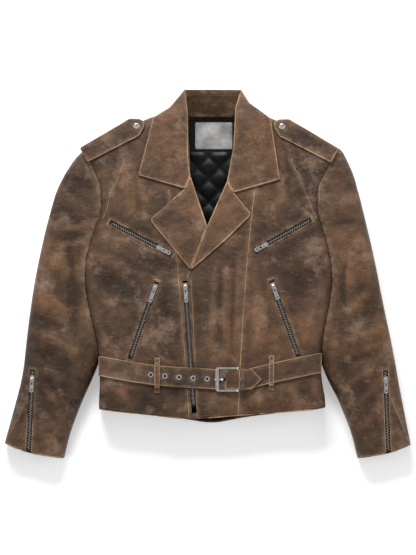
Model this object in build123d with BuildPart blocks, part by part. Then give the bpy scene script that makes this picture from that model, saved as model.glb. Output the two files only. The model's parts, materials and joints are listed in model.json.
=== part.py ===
"""A leather riding jacket, laid flat on its back, with its belt buckled and its lapels folded open.

+X is the wearer's left, +Y runs towards the collar and +Z is the front of the jacket. The origin is under
the middle of the jacket, on the surface that it lies on. All lengths are in millimetres.
"""

import os
from math import cos, hypot, pi, radians, sin, tan

from build123d import *

os.makedirs("parts", exist_ok=True)

# ---- Overall sizes ----
cuff_span = 779.0  # across both cuffs
jacket_length = 708.0  # collar top to cuff ends
body_depth = 75.0  # back leather to front leather
pattern_span = 779.0  # the span and length that the pattern points are drawn at
pattern_length = 708.0

# ---- Body ----
leather = 3.0
edge_radius = 22.0  # front edge of the body
back_edge_radius = 16.0
corner_radius = 28.0  # body corners in plan
sharp_turn = 36.0  # degrees: a turn above this is a corner
side_seam = 38.0  # height of the seam between front and back
mouth_low = 17.0  # the open hem and neck, between front and back
mouth_high = 48.0
neck_low = 9.0
armhole_low = 14.0
armhole_high = 58.0
sleeve_gap = 1.0  # between body and sleeve

# ---- Lining ----
front_lining_drop = 11.0  # front leather to the lining's outer face
lining_inset = 8.0
lining_radius = 18.0
lining_back_radius = 8.0
lining = 1.5
quilt = 5.0
facing = 3.0
facing_bottom = 235.0  # where the plain neck facing meets the quilting

# ---- Sleeves ----
cuff_height = 48.0
cap_height = 71.0
sleeve_radius = 20.0
sleeve_back_radius = 14.0
sleeve_corner = 24.0
sleeve_seam = 24.0
sleeve_lining = 1.2

# ---- Collar and lapels ----
collar = 3.6
lapel = 3.2
tip_radius = 7.0

# ---- Belt and buckle ----
belt_width = 38.0
belt_thickness = 3.0
belt_gap = 1.6  # between the belt and the front
belt_lap = 0.3  # between two thicknesses of belt
tail_reach = 103.0  # strap tip
eyelet_pitch = 26.7
eyelet_count = 5
eyelet_outer = 5.0
eyelet_bore = 2.6
buckle_length = 46.4
buckle_height = belt_width + 8.0
buckle_thickness = 3.6
buckle_bar = 6.7
buckle_window_gap = 0.7
pivot_radius = 2.1
pivot_clearance = 0.25
prong_width = 3.6
prong_thickness = 3.0
keeper_width = 7.4
keeper_wall = 1.2
loop_thickness = 1.6

# ---- Zips ----
slot_half = 4.8  # half the gap in the leather over a chain
tape_half = 11.0
cuff_tape = 6.5  # beside the sleeve's rounded edge
tape = 0.9
tape_drop = 0.2  # under the leather
tooth_pitch = 5.0
tooth_length = 1.5
tooth_reach = 2.9
tooth_overlap = 0.9
tooth_top = 0.4  # below the leather's face
slider_length = 11.0
slider_half = 4.1
slider_plate = 1.5
pin_height = 3.9
pin_radius = 0.8
pin_clearance = 0.2
eye_radius = 2.1
eye_half = 1.5
pull_half = 3.75
pull_thickness = 1.6
welt_width = 3.2
welt_height = 1.0

# ---- Pocket bags ----
bag_depth = 105.0
bag_wall = 0.7
bag_thickness = 5.8

# ---- Shoulder straps and snaps ----
strap_length = 131.0
strap_root = 30.0
strap_width = 37.0
strap_thickness = 3.0
strap_gap = 1.2
snap_place = 114.0  # from the sewn end
snap_radius = 6.25
snap_dome = 2.6
socket_radius = 4.4
socket_bore = 2.4
stud_radius = 1.8

wide = cuff_span / pattern_span
long = jacket_length / pattern_length


def at(x, y):
    """A pattern point graded to the jacket's size."""
    return (x * wide, y * long)


def graded(points):
    return [at(x, y) for x, y in points]


# ---- Pattern points: body outline, from shoulder tip to hem corner ----
right_side_run = graded(
    [(-243, 236), (-206, 162), (-206, 118), (-226, 62), (-237, 2), (-228, -62)]
    + [(-209, -133), (-205, -200), (-209, -260)]
)
left_side_run = graded(
    [(256, 237), (212, 160), (213, 118), (229, 62), (240, 0), (232, -62)]
    + [(215, -133), (216, -196), (228, -258)]
)
neck_right = at(-72, 316)
neck_left = at(74, 318)
front_hem = graded([(-32, -278.5), (59, -271)])
back_hem = graded([(-42, -280), (9, -289), (72, -276)])

# ---- Pattern points: seams of the front ----
open_neck = graded(
    [(-40, 345), (-38, 300), (-33, 185), (-1, 89.5), (37, 175), (49, 240), (52, 309), (54, 345)]
)
zip_top = at(-43, -16.5)
zip_bottom = at(-26.5, -252)
front_edge = graded([(-1, 89.5), (-33, 6), (-43, -16.5), (-24.5, -300)])
right_facing_seam = graded([(-88, 345), (-74.5, 160), (-60, 39), (-30.5, -300)])
centre_seam = graded([(102, 345), (89, 155), (83, 104.5), (72, -16.5), (62, -173), (57, -300)])
right_shoulder_seam = graded([(-148, 330), (-163, 214.5), (-179, 172.5), (-188, 152), (-280, 112)])
left_shoulder_seam = graded([(146, 330), (158.5, 218), (183, 162), (192, 146), (290, 108)])

# ---- Pattern points: collar and lapels ----
right_wing = graded(
    [(-43, 354), (-72, 316), (-103, 296), (-131.5, 187), (-43, 161.5), (-33, 185), (-37.6, 221), (-37.6, 301)]
)
left_wing = graded(
    [(64, 352), (80, 324), (119.5, 294), (137, 179), (49, 154), (37, 175), (49, 240), (53, 316)]
)
right_lapel = graded([(-43, 161.5), (-110, 102), (-33, 8), (-1, 89.5), (-33, 185)])
left_lapel = graded([(49, 154), (83, 112), (34, 64), (-33, 6), (-1, 89.5), (37, 175)])
collar_back = graded([(-43, 354), (-37.6, 301), (53, 301), (64, 352)])
label_corners = graded([(-24, 240.5), (47.5, 292)])

# ---- Pattern points: sleeves, from the shoulder out and down to the cuff, then back up inside ----
right_sleeve_outer = graded(
    [(-180, 262), (-243, 236), (-286, 170), (-309, 89.5), (-331, -11), (-345, -107), (-354, -193),
     (-371, -258), (-389.5, -324), (-408, -392)]
)
right_sleeve_inner = graded(
    [(-290, -420), (-276, -354), (-266, -310), (-243, -248), (-222, -203), (-205, -160), (-200, -100),
     (-205, 0), (-195, 80), (-166, 160), (-180, 262)]
)
left_sleeve_outer = graded(
    [(192, 263), (256, 237), (278, 193), (296, 125), (318, 34), (338, -67), (354.5, -142),
     (368, -218), (389.5, -326), (403, -392)]
)
left_sleeve_inner = graded(
    [(307, -420), (288, -354), (278, -310), (252, -243), (230, -203), (214, -160), (205, -100),
     (208, 0), (200, 80), (176, 160), (192, 263)]
)
right_cuff = graded([(-389.5, -325), (-342, -343), (-276, -354)])
left_cuff = graded([(389.5, -328), (346, -344), (288, -354)])
right_gusset = graded([(-340, -226), (-346.5, -370), (-410, -352)])
left_gusset = graded([(345, -226), (350.5, -370), (408, -352)])

# ---- Pattern points: chains, from the end that the pull points away from ----
right_chest_zip = graded([(-185, 97), (-68, 36.5)])
left_chest_zip = graded([(196, 102.3), (99, 49)])
right_hand_zip = graded([(-97, -16.5), (-148, -163)])
left_hand_zip = graded([(121, -14), (172.5, -157.5)])
right_cuff_zip = graded([(-334, -183), (-342.5, -340)])
left_cuff_zip = graded([(339, -185), (345.5, -341)])

# ---- Pattern points: belt, shoulder straps ----
strap_line = graded(
    [(-201, -176), (-150, -185.5), (-107, -192), (-55, -196.5), (-1, -199.5)]
    + [(14, -200.5), (tail_reach, -200.5)]
)
short_line = graded([(57, -200.5), (74, -200.5), (120, -189), (208, -170.5)])
belt_loop_places = graded([(-96, -193.3), (121, -188.8)])
right_strap_root = at(-235, 225)
left_strap_root = at(241, 224)
right_strap_way = (0.876, 0.482)
left_strap_way = (-0.876, 0.482)

FAR = 500.0  # past every edge of the jacket


def inset(points, amount):
    """A closed outline's points, with every side stepped inwards by an amount."""
    area = sum(a[0] * b[1] - b[0] * a[1] for a, b in zip(points, points[1:] + points[:1]))
    step = amount if area > 0 else -amount
    moved = []
    for before, here, after in zip(points[-1:] + points[:-1], points, points[1:] + points[:1]):
        first = (Vector(*here) - Vector(*before)).normalized().rotate(Axis.Z, 90)
        second = (Vector(*after) - Vector(*here)).normalized().rotate(Axis.Z, 90)
        shift = (first + second) * (step / (1 + first.dot(second)))
        moved.append((here[0] + shift.X, here[1] + shift.Y))
    return moved


def corner_radii(points, sharp_radius):
    """Arcs for a closed outline: one radius at each sharp corner, else as much as the lines allow."""
    found = []
    for before, here, after in zip(points[-1:] + points[:-1], points, points[1:] + points[:1]):
        first = Vector(*here) - Vector(*before)
        second = Vector(*after) - Vector(*here)
        turn = first.get_angle(second)
        most = 0.45 * min(first.length, second.length) / tan(radians(turn) / 2)
        found.append(min(sharp_radius, most) if turn > sharp_turn else most)
    return found


def soft_outline(points, amount, sharp_radius):
    """A rounded outline inset by an amount, as a line inside a BuildLine block."""
    moved = inset(points, amount)
    FilletPolyline(*moved, radius=corner_radii(moved, sharp_radius - amount), close=True)


def body_points(hem):
    return right_side_run + hem + left_side_run[::-1] + [neck_left, neck_right]


def save(builder, name):
    builder.part.label = name
    export_step(builder.part, f"parts/{name}.step")


def prism(points, low, high):
    """The solid over the polygon through points, from height low to height high."""
    with BuildPart() as block:
        with BuildSketch(Plane.XY.offset(low)):
            with BuildLine():
                Polyline(*points, close=True)
            make_face()
        extrude(amount=high - low)
    return block.part


def band(points, thickness):
    """A closed outline: the line through points, and the same line moved to its left by a thickness."""
    moved = []
    for i in range(len(points)):
        before = points[max(i - 1, 0)]
        after = points[min(i + 1, len(points) - 1)]
        dx = after[0] - before[0]
        dy = after[1] - before[1]
        run = hypot(dx, dy)
        moved.append((points[i][0] - dy / run * thickness, points[i][1] + dx / run * thickness))
    return points + moved[::-1]


def centred_band(line, width):
    """A closed outline of a strap of one width along a line."""
    half = [(x, y - width / 2) for x, y in line]
    return half + [(x, y + width / 2) for x, y in line[::-1]]


def bent_in_yz(profile, thickness, left, right):
    """A sheet that is bent in the YZ plane and runs along X."""
    with BuildPart() as sheet:
        with BuildSketch(Plane.YZ.offset(left)):
            with BuildLine():
                Polyline(*band(profile, thickness), close=True)
            make_face()
        extrude(amount=right - left)
    return sheet.part


def bent_in_xz(profile, thickness, near, far):
    """A sheet that is bent in the XZ plane and runs along Y, from near to far."""
    with BuildPart() as sheet:
        with BuildSketch(Plane.XZ.offset(-far)):
            with BuildLine():
                Polyline(*band(profile, thickness), close=True)
            make_face()
        extrude(amount=far - near)
    return sheet.part


def torso_block(hem, grow, low, high, top_radius, bottom_radius):
    """The padded outline of the body as one solid, grown outwards in plan."""
    with BuildPart() as block:
        with BuildSketch(Plane.XY.offset(low)):
            with BuildLine():
                soft_outline(body_points(hem), -grow, corner_radius)
            make_face()
        extrude(amount=high - low)
        fillet(block.faces().sort_by(Axis.Z)[-1].edges(), top_radius)
        fillet(block.faces().sort_by(Axis.Z)[0].edges(), bottom_radius)
    return block.part


def mouths():
    """What is taken out of the body's walls: both armholes, the hem and the neck."""
    armhole_top = 214 * long
    armhole_bottom = 84 * long
    tall = armhole_high - armhole_low
    middle = (armhole_high + armhole_low) / 2
    with BuildPart() as space:
        for inner, outer in ((-185 * wide, -246 * wide), (190 * wide, 254 * wide)):
            with Locations(((inner + outer) / 2, (armhole_top + armhole_bottom) / 2, middle)):
                Box(abs(outer - inner), armhole_top - armhole_bottom, tall)
        mouth = mouth_high - mouth_low
        mouth_middle = (mouth_high + mouth_low) / 2
        with Locations((8 * wide, -265 * long, mouth_middle)):
            Box(370 * wide, 60 * long, mouth)
        with Locations((4 * wide, 308 * long, (mouth_high + neck_low) / 2)):
            Box(112 * wide, 40 * long, mouth_high - neck_low)
    return space.part


def shell_half(hem, low, high):
    """The body's leather between two heights, hollow, with its armholes, hem and neck open."""
    with BuildPart() as half:
        add(torso_block(hem, 0, 0, body_depth, edge_radius, back_edge_radius))
        add(
            torso_block(
                hem,
                -leather,
                leather,
                body_depth - leather,
                edge_radius - leather,
                back_edge_radius - leather,
            ),
            mode=Mode.SUBTRACT,
        )
        add(mouths(), mode=Mode.SUBTRACT)
        with Locations((0, 0, (low + high) / 2)):
            Box(2 * FAR, 2 * FAR, high - low, mode=Mode.INTERSECT)
    return half.part


def chain_plane(start, end, height, slope=0.0):
    """A plane at a chain's start, with x along the chain and z out of the leather."""
    dx = end[0] - start[0]
    dy = end[1] - start[1]
    return Plane(origin=(start[0], start[1], height), x_dir=(dx, dy, slope * dy), z_dir=(0, -slope, 1))


def chain_length(start, end, slope=0.0):
    return hypot(end[0] - start[0], end[1] - start[1], slope * (end[1] - start[1]))


def chain_slot(plane, length, before=0.0, after=0.0):
    """The gap in the leather over a chain."""
    with BuildPart(plane) as gap:
        with Locations(((length + after - before) / 2, 0, 0)):
            Box(length + before + after, 2 * slot_half, 4 * leather)
    return gap.part


def make_chain(name, plane, length, tape_widths=(tape_half, tape_half)):
    """Two tapes and their rows of teeth, meshed."""
    tape_top = -leather - tape_drop
    tooth_height = -tooth_top - tape_top - 0.05
    count = int((length - 6.0) / tooth_pitch)
    with BuildPart(plane) as chain:
        for side, reach in zip((-1, 1), tape_widths):
            with Locations((length / 2, side * (reach / 2 + 0.15), tape_top - tape / 2)):
                Box(length, reach - 0.3, tape)
            first = 4.0 + (side + 1) / 2 * tooth_pitch / 2
            across = side * (tooth_reach - tooth_overlap) / 2
            places = [(first + i * tooth_pitch, across, -tooth_top - tooth_height / 2) for i in range(count)]
            with Locations(*places):
                Box(tooth_length, tooth_reach + tooth_overlap, tooth_height)
    save(chain, f"{name}_chain")


def tape_rebate(plane, length, tape_widths):
    """The room that a chain's tapes take on the leather's inner side."""
    low, high = tape_widths
    deep = tape + 0.3
    with BuildPart(plane) as room:
        with Locations((length / 2, (high - low) / 2, -leather - tape_drop - tape / 2)):
            Box(length + 1, low + high + 0.6, deep)
    return room.part


def make_slider(name, plane, place):
    """The slider: a saddle over the teeth, with two posts and the pin that the pull turns on."""
    skirt = leather - 0.2
    post_low = slider_plate - 0.1
    post_top = pin_height + 1.5
    with BuildPart(plane) as slider:
        with Locations((place, 0, slider_plate / 2)):
            Box(slider_length, 2 * slider_half, slider_plate)
        fillet(slider.edges().filter_by(Axis(plane.origin, plane.z_dir)), 1.6)
        for side in (-1, 1):
            with Locations((place, side * (slider_half - 0.4), -skirt / 2 + 0.05)):
                Box(slider_length - 3.4, 0.8, skirt + 0.1)
            with Locations((place, side * (eye_half + 1.1), (post_low + post_top) / 2)):
                Box(3.0, 1.6, post_top - post_low)
        with Locations(Location((place, 0, pin_height), (90, 0, 0))):
            Cylinder(pin_radius, 2 * eye_half + 1.4)
    save(slider, f"{name}_slider")


def make_pull(name, plane, place, length):
    """The pull tab: an eye round the slider's pin, a neck and a tab with two holes."""
    neck = 5.2
    with BuildPart(plane) as pull:
        with Locations(Location((place, 0, pin_height), (90, 0, 0))):
            Cylinder(eye_radius, 2 * eye_half)
        with Locations((place + neck / 2 + 0.6, 0, pin_height)):
            Box(neck + 0.4, 2 * eye_half, pull_thickness)
        with Locations((place + (neck + length) / 2, 0, pin_height)):
            Box(length - neck, 2 * pull_half, pull_thickness)
        far_face = pull.faces().sort_by(Axis(plane.origin, plane.x_dir))[-1]
        fillet(far_face.edges().filter_by(Axis(plane.origin, plane.z_dir)), 1.6)
        with Locations(Location((place, 0, pin_height), (90, 0, 0))):
            Cylinder(pin_radius + pin_clearance, 4 * eye_half, mode=Mode.SUBTRACT)
        with Locations((place + neck + 4.4, 0, pin_height)):
            Box(4.6, 3.2, 3 * pull_thickness, mode=Mode.SUBTRACT)
        with Locations((place + length - 4.6, 0, pin_height)):
            Cylinder(1.7, 3 * pull_thickness, mode=Mode.SUBTRACT)
    save(pull, f"{name}_pull")


# ---- Body leather ----
front_shell = shell_half(front_hem, side_seam, body_depth)
back_shell = shell_half(back_hem, 0, side_seam)
neck_space = prism(open_neck, side_seam - 1, body_depth + 1)

main_plane = chain_plane(zip_top, zip_bottom, body_depth)
main_length = chain_length(zip_top, zip_bottom)
front_zips = {
    "right_chest": right_chest_zip,
    "left_chest": left_chest_zip,
    "right_hand": right_hand_zip,
    "left_hand": left_hand_zip,
}
front_slots = [chain_slot(main_plane, main_length, 3.0, 60.0)]
for ends in front_zips.values():
    front_slots.append(chain_slot(chain_plane(*ends, body_depth), chain_length(*ends)))


def cut_panel(name, keep, leave):
    """One front panel: the shell over the keep polygon, without what the leave polygons cover."""
    with BuildPart() as panel:
        add(front_shell)
        add(prism(keep, side_seam - 1, body_depth + 1), mode=Mode.INTERSECT)
        for points in leave:
            add(prism(points, side_seam - 1, body_depth + 1), mode=Mode.SUBTRACT)
        add(neck_space, mode=Mode.SUBTRACT)
        for gap in front_slots:
            add(gap, mode=Mode.SUBTRACT)
    save(panel, name)


right_edge_run = open_neck[:3] + front_edge
left_edge_run = [open_neck[7], open_neck[6], open_neck[5], open_neck[4]] + front_edge
right_shoulder_area = right_shoulder_seam + [(-FAR, right_shoulder_seam[-1][1]), (-FAR, 330 * long)]
left_shoulder_area = left_shoulder_seam + [(FAR, left_shoulder_seam[-1][1]), (FAR, 330 * long)]

cut_panel(
    "right_front_panel",
    [(-FAR, 345 * long)] + right_facing_seam + [(-FAR, -300 * long)],
    [right_shoulder_area],
)
cut_panel("right_zip_facing", right_edge_run + right_facing_seam[::-1], [])
cut_panel("centre_front_panel", left_edge_run + centre_seam[::-1], [])
cut_panel(
    "left_front_panel",
    centre_seam + [(FAR, -300 * long), (FAR, 345 * long)],
    [left_shoulder_area],
)
cut_panel("right_shoulder_panel", right_shoulder_area, [])
cut_panel("left_shoulder_panel", left_shoulder_area, [])

with BuildPart() as back_panel:
    add(back_shell)
save(back_panel, "back_panel")

# ---- Lining ----
lining_high = body_depth - front_lining_drop
lining_low = leather + 0.2
lining_split = 12.0
with BuildPart() as front_linings:
    add(torso_block(front_hem, -lining_inset, lining_low, lining_high, lining_radius, lining_back_radius))
    add(
        torso_block(
            front_hem,
            -lining_inset - lining,
            lining_low + lining,
            lining_high - lining,
            lining_radius - lining,
            lining_back_radius - lining,
        ),
        mode=Mode.SUBTRACT,
    )
    add(mouths(), mode=Mode.SUBTRACT)
    add(neck_space, mode=Mode.SUBTRACT)
    with Locations((0, 0, lining_split + FAR / 2)):
        Box(2 * FAR, 2 * FAR, FAR, mode=Mode.INTERSECT)

    with BuildSketch(Plane.XY.offset(lining_split)):
        with BuildLine():
            Polyline(*(front_edge + [(x + 1.0, y) for x, y in front_edge[::-1]]), close=True)
        make_face()
    extrude(amount=body_depth, mode=Mode.SUBTRACT)
save(front_linings, "front_linings")


def back_plate(low, thickness, bottom, top):
    """A plate inside the back, between two heights up the back."""
    with BuildPart() as plate:
        with BuildSketch(Plane.XY.offset(low)):
            with BuildLine():
                soft_outline(body_points(front_hem), back_edge_radius + leather, corner_radius)
            make_face()
        extrude(amount=thickness)
        with Locations((0, (bottom + top) / 2, low)):
            Box(2 * FAR, top - bottom, 4 * thickness, mode=Mode.INTERSECT)
    return plate


quilted_lining = back_plate(lining_low, quilt, -FAR, facing_bottom * long)
save(quilted_lining, "quilted_lining")
back_neck_facing = back_plate(lining_low, facing, facing_bottom * long, FAR)
save(back_neck_facing, "back_neck_facing")

facing_top = lining_low + facing
label_width = label_corners[1][0] - label_corners[0][0]
label_height = label_corners[1][1] - label_corners[0][1]
label_left, label_right = label_corners
label_middle = ((label_left[0] + label_right[0]) / 2, (label_left[1] + label_right[1]) / 2)
with BuildPart() as label_patch:
    with BuildSketch(Plane((*label_middle, facing_top))):
        RectangleRounded(label_width, label_height, 2.5)
    extrude(amount=1.2)
save(label_patch, "label_patch")


# ---- Collar and lapels ----
wing_bend = [
    (140, 0), (298, 0), (306, -1.0), (314, -5.5), (322, -14), (334, -27), (345, -36), (353.5, -41)
]
wing_profile = [(y * long, body_depth + 0.2 + z) for y, z in wing_bend]


def make_wing(name, outline):
    """A collar wing: flat on the front, and bent down over the shoulder to the back of the neck."""
    with BuildPart() as wing:
        add(bent_in_yz(wing_profile, collar, -200 * wide, 200 * wide))
        with BuildSketch(Plane.XY):
            with BuildLine():
                Polyline(*outline, close=True)
            make_face()
        extrude(amount=2 * body_depth, mode=Mode.INTERSECT)
        fillet(wing.edges().filter_by(Axis.Z).group_by(Axis.Y)[0], 2.0)
    save(wing, name)


make_wing("right_collar_wing", right_wing)
make_wing("left_collar_wing", left_wing)

with BuildPart() as collar_stand:
    stand_bend = [(304, 13), (318, 20), (332, 27), (344, 31.5), (353, 33.5)]
    add(bent_in_yz([(y * long, z) for y, z in stand_bend], collar, -60 * wide, 80 * wide))
    add(prism(collar_back, 0, body_depth), mode=Mode.INTERSECT)
save(collar_stand, "collar_stand")

with BuildPart() as back_collar:
    fall_bend = [(320.5, 0.4), (333, 5), (345, 15), (350.5, 25)]
    add(bent_in_yz([(y * long, z) for y, z in fall_bend], collar, -66 * wide, 72 * wide))
save(back_collar, "back_collar")


def make_lapel(name, outline):
    with BuildPart() as flap:
        add(prism(outline, body_depth, body_depth + lapel))
        tip = 0 if outline is right_lapel else -1
        fillet(flap.edges().filter_by(Axis.Z).sort_by(Axis.X)[tip], tip_radius)
    save(flap, name)


make_lapel("right_lapel", right_lapel)
make_lapel("left_lapel", left_lapel)

# ---- Zips of the front ----
slider_places = {"right_chest": -26.7, "left_chest": -11.3, "right_hand": 9.0, "left_hand": 9.0}
pull_lengths = {"right_chest": 24.0, "left_chest": 22.0, "right_hand": 31.0, "left_hand": 28.0}
main_slider_place = 7.0
main_pull = 31.0

make_chain("main_zip", main_plane, main_length)
make_slider("main_zip", main_plane, main_slider_place)
make_pull("main_zip", main_plane, main_slider_place, main_pull)

for pocket, ends in front_zips.items():
    plane = chain_plane(*ends, body_depth)
    length = chain_length(*ends)
    place = slider_places[pocket] % length
    make_chain(f"{pocket}_zip", plane, length)
    make_slider(f"{pocket}_zip", plane, place)
    make_pull(f"{pocket}_zip", plane, place, pull_lengths[pocket])

with BuildPart() as pocket_welts:
    for ends in front_zips.values():
        plane = chain_plane(*ends, body_depth)
        length = chain_length(*ends)
        with BuildSketch(Plane(plane.from_local_coords((length / 2, 0, 0)), plane.x_dir, plane.z_dir)):
            Rectangle(length + 2 * welt_width, 2 * (slot_half + welt_width))
            Rectangle(length, 2 * slot_half, mode=Mode.SUBTRACT)
        extrude(amount=welt_height)
save(pocket_welts, "pocket_welts")

# ---- Pocket bags, hanging from the chains between leather and lining ----
bag_top = -leather - tape_drop - tape - 0.1
bag_sides = {"right_chest": 1, "left_chest": -1, "right_hand": 1, "left_hand": -1}
with BuildPart() as pocket_bags:
    for pocket, ends in front_zips.items():
        plane = chain_plane(*ends, body_depth)
        length = chain_length(*ends)
        toward = bag_sides[pocket]
        depth = bag_depth * 0.55
        middle = plane.from_local_coords((length / 2, toward * (depth / 2 - tape_half), bag_top))
        with BuildSketch(Plane(middle, plane.x_dir, plane.z_dir)):
            RectangleRounded(length - 6, depth, 8)
        extrude(amount=-bag_thickness)
        with BuildSketch(Plane(middle - plane.z_dir * bag_wall, plane.x_dir, plane.z_dir)):
            RectangleRounded(length - 6 - 2 * bag_wall, depth - 2 * bag_wall, 7)
        extrude(amount=-(bag_thickness - 2 * bag_wall), mode=Mode.SUBTRACT)
save(pocket_bags, "pocket_bags")

# ---- Belt ----
belt_low = body_depth + belt_gap
belt_high = belt_low + belt_thickness
frame_low = belt_high + 0.4
pivot_height = frame_low + buckle_thickness / 2
fold_radius = pivot_radius + pivot_clearance + 2.35
arch_low = pivot_height + fold_radius + 0.3
buckle_left = strap_line[5][0] + 0.6
pivot_x = buckle_left + buckle_length - 4.0
buckle_y = strap_line[5][1]
tail_low = belt_high + belt_lap
wrap_radius = edge_radius + belt_gap


def wrap(reach, side):
    """The belt's underside over the rounded side of the body, from the side up to the flat front."""
    turn = [0.19 * pi, 0.3 * pi, 0.4 * pi, 0.5 * pi]
    centre = (reach - edge_radius, body_depth - edge_radius)
    return [(side * (centre[0] + wrap_radius * cos(a)), centre[1] + wrap_radius * sin(a)) for a in turn]


strap_profile = wrap(-right_side_run[7][0] + 3.0 * wide, -1) + [
    (buckle_left + buckle_bar + 0.2, belt_low),
    (buckle_left + buckle_bar + 12.0, arch_low),
    (pivot_x + 12.5, arch_low),
    (pivot_x + 23.0, tail_low),
    (tail_reach * wide, tail_low),
]
hole_xs = [strap_line[4][0] - i * eyelet_pitch for i in range(eyelet_count)]


def strap_y(x):
    """The height up the jacket of the strap's middle line."""
    for i in range(len(strap_line) - 1):
        a = strap_line[i]
        b = strap_line[i + 1]
        if a[0] <= x <= b[0]:
            return a[1] + (b[1] - a[1]) * (x - a[0]) / (b[0] - a[0])
    return strap_line[-1][1]


strap_outline = centred_band([(strap_line[0][0] - 20, strap_line[0][1])] + strap_line[:-1], belt_width)
tail_x = tail_reach * wide
tail_points = [
    (tail_x - 20.0, buckle_y - belt_width / 2),
    (tail_x, buckle_y),
    (tail_x - 20.0, buckle_y + belt_width / 2),
]
count = len(strap_line)
strap_outline = strap_outline[:count] + tail_points + strap_outline[count:]

with BuildPart() as belt_strap:
    add(bent_in_xz(strap_profile, belt_thickness, buckle_y - 60, buckle_y + 90))
    add(prism(strap_outline, 0, 2 * body_depth), mode=Mode.INTERSECT)
    with Locations(*[(x, strap_y(x), belt_low) for x in hole_xs]):
        Cylinder(eyelet_bore + 0.6, 4 * belt_thickness, mode=Mode.SUBTRACT)
    with Locations((buckle_left + buckle_bar + 6.5, buckle_y, pivot_height)):
        Box(11.5, prong_width + 1.6, 30, mode=Mode.SUBTRACT)
save(belt_strap, "belt_strap")

with BuildPart() as belt_eyelets:
    for x in hole_xs:
        with Locations((x, strap_y(x), belt_low + belt_thickness / 2)):
            Cylinder(eyelet_bore + 0.6, belt_thickness)
        with Locations((x, strap_y(x), belt_high + 0.4)):
            Cylinder(eyelet_outer, 0.8)
        with Locations((x, strap_y(x), belt_high)):
            Cylinder(eyelet_bore, 4 * belt_thickness, mode=Mode.SUBTRACT)
save(belt_eyelets, "belt_eyelets")

short_wrap = wrap(left_side_run[7][0] + 1.0 * wide, 1)[::-1]
short_profile = [(pivot_x, belt_low)] + short_wrap
short_start = (pivot_x - 8, short_line[0][1])
short_end = (short_line[-1][0] + 20, short_line[-1][1])
short_outline = centred_band([short_start] + short_line[1:] + [short_end], belt_width)
with BuildPart() as belt_short_end:
    add(bent_in_xz(short_profile, belt_thickness, buckle_y - 60, buckle_y + 90))
    add(prism(short_outline, 0, 2 * body_depth), mode=Mode.INTERSECT)
    with Locations(Location((pivot_x, buckle_y, pivot_height), (90, 0, 0))):
        Cylinder(fold_radius, belt_width - 4.0)
    with Locations((pivot_x, buckle_y, pivot_height - fold_radius - 5.0)):
        Box(4 * fold_radius, 2 * belt_width, 10.0, mode=Mode.SUBTRACT)
    with Locations(Location((pivot_x, buckle_y, pivot_height), (90, 0, 0))):
        Cylinder(pivot_radius + pivot_clearance, 2 * belt_width, mode=Mode.SUBTRACT)
    with Locations((pivot_x - 1.0, buckle_y, pivot_height)):
        Box(2 * fold_radius + 4.0, prong_width + 2.0, 4 * fold_radius, mode=Mode.SUBTRACT)
save(belt_short_end, "belt_short_end")

with BuildPart() as belt_keeper:
    inside_low = belt_low - 0.2
    inside_high = arch_low + belt_thickness + 0.4
    with Locations((pivot_x + 4.0 + keeper_width / 2 + 1.0, buckle_y, (inside_low + inside_high) / 2)):
        Box(keeper_width, belt_width + 1.0 + 2 * keeper_wall, inside_high - inside_low + 2 * keeper_wall)
        Box(3 * keeper_width, belt_width + 1.0, inside_high - inside_low, mode=Mode.SUBTRACT)
save(belt_keeper, "belt_keeper")

with BuildPart() as belt_loops:
    for x, y in belt_loop_places:
        over = belt_high + 0.3 - body_depth
        half = belt_width / 2 + 4.0
        foot = 10.0
        with BuildSketch(Plane.YZ.offset(x - 5.0)):
            with Locations((y, body_depth + over / 2 + loop_thickness / 2 + 0.02)):
                Rectangle(2 * half, over + loop_thickness)
            with Locations((y, body_depth + loop_thickness / 2 + 0.02)):
                Rectangle(2 * (half + foot), loop_thickness)
            with Locations((y, body_depth + over / 2 + 0.02)):
                Rectangle(2 * (half - loop_thickness), over, mode=Mode.SUBTRACT)
        extrude(amount=10.0)
save(belt_loops, "belt_loops")

with BuildPart() as buckle_frame:
    arm = (buckle_height - belt_width - 2 * buckle_window_gap) / 2
    with BuildSketch(Plane((buckle_left, buckle_y, frame_low))):
        with Locations(((buckle_length - 4.0) / 2, 0)):
            Rectangle(buckle_length - 4.0, buckle_height)
        with Locations(((buckle_length - 4.0) / 2 + buckle_bar, 0)):
            Rectangle(buckle_length - 4.0, buckle_height - 2 * arm, mode=Mode.SUBTRACT)
    extrude(amount=buckle_thickness)
    fillet(buckle_frame.edges().filter_by(Axis.Z).group_by(Axis.X)[0], 6.0)
    for side in (-1, 1):
        arm_y = buckle_y + side * (buckle_height - arm) / 2
        with Locations(Location((pivot_x, arm_y, pivot_height), (90, 0, 0))):
            Cylinder(buckle_thickness / 2 + 0.5, arm)
    with Locations(Location((pivot_x, buckle_y, pivot_height), (90, 0, 0))):
        Cylinder(pivot_radius, buckle_height - arm)
save(buckle_frame, "buckle_frame")

with BuildPart() as buckle_prong:
    rest_height = frame_low + buckle_thickness + 0.15 + prong_thickness / 2
    path_low = [
        (buckle_left - 2.5, rest_height - prong_thickness / 2),
        (buckle_left + buckle_bar + 4.0, rest_height - prong_thickness / 2),
        (buckle_left + buckle_bar + 12.0, pivot_height - prong_thickness / 2),
        (pivot_x, pivot_height - prong_thickness / 2),
    ]
    add(bent_in_xz(path_low, prong_thickness, buckle_y - prong_width / 2, buckle_y + prong_width / 2))
    with Locations(Location((pivot_x, buckle_y, pivot_height), (90, 0, 0))):
        Cylinder(fold_radius - 0.4, prong_width)
        Cylinder(pivot_radius + pivot_clearance, 2 * prong_width, mode=Mode.SUBTRACT)
save(buckle_prong, "buckle_prong")

# ---- Shoulder straps and their snaps ----
strap_low = body_depth + strap_gap


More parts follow.
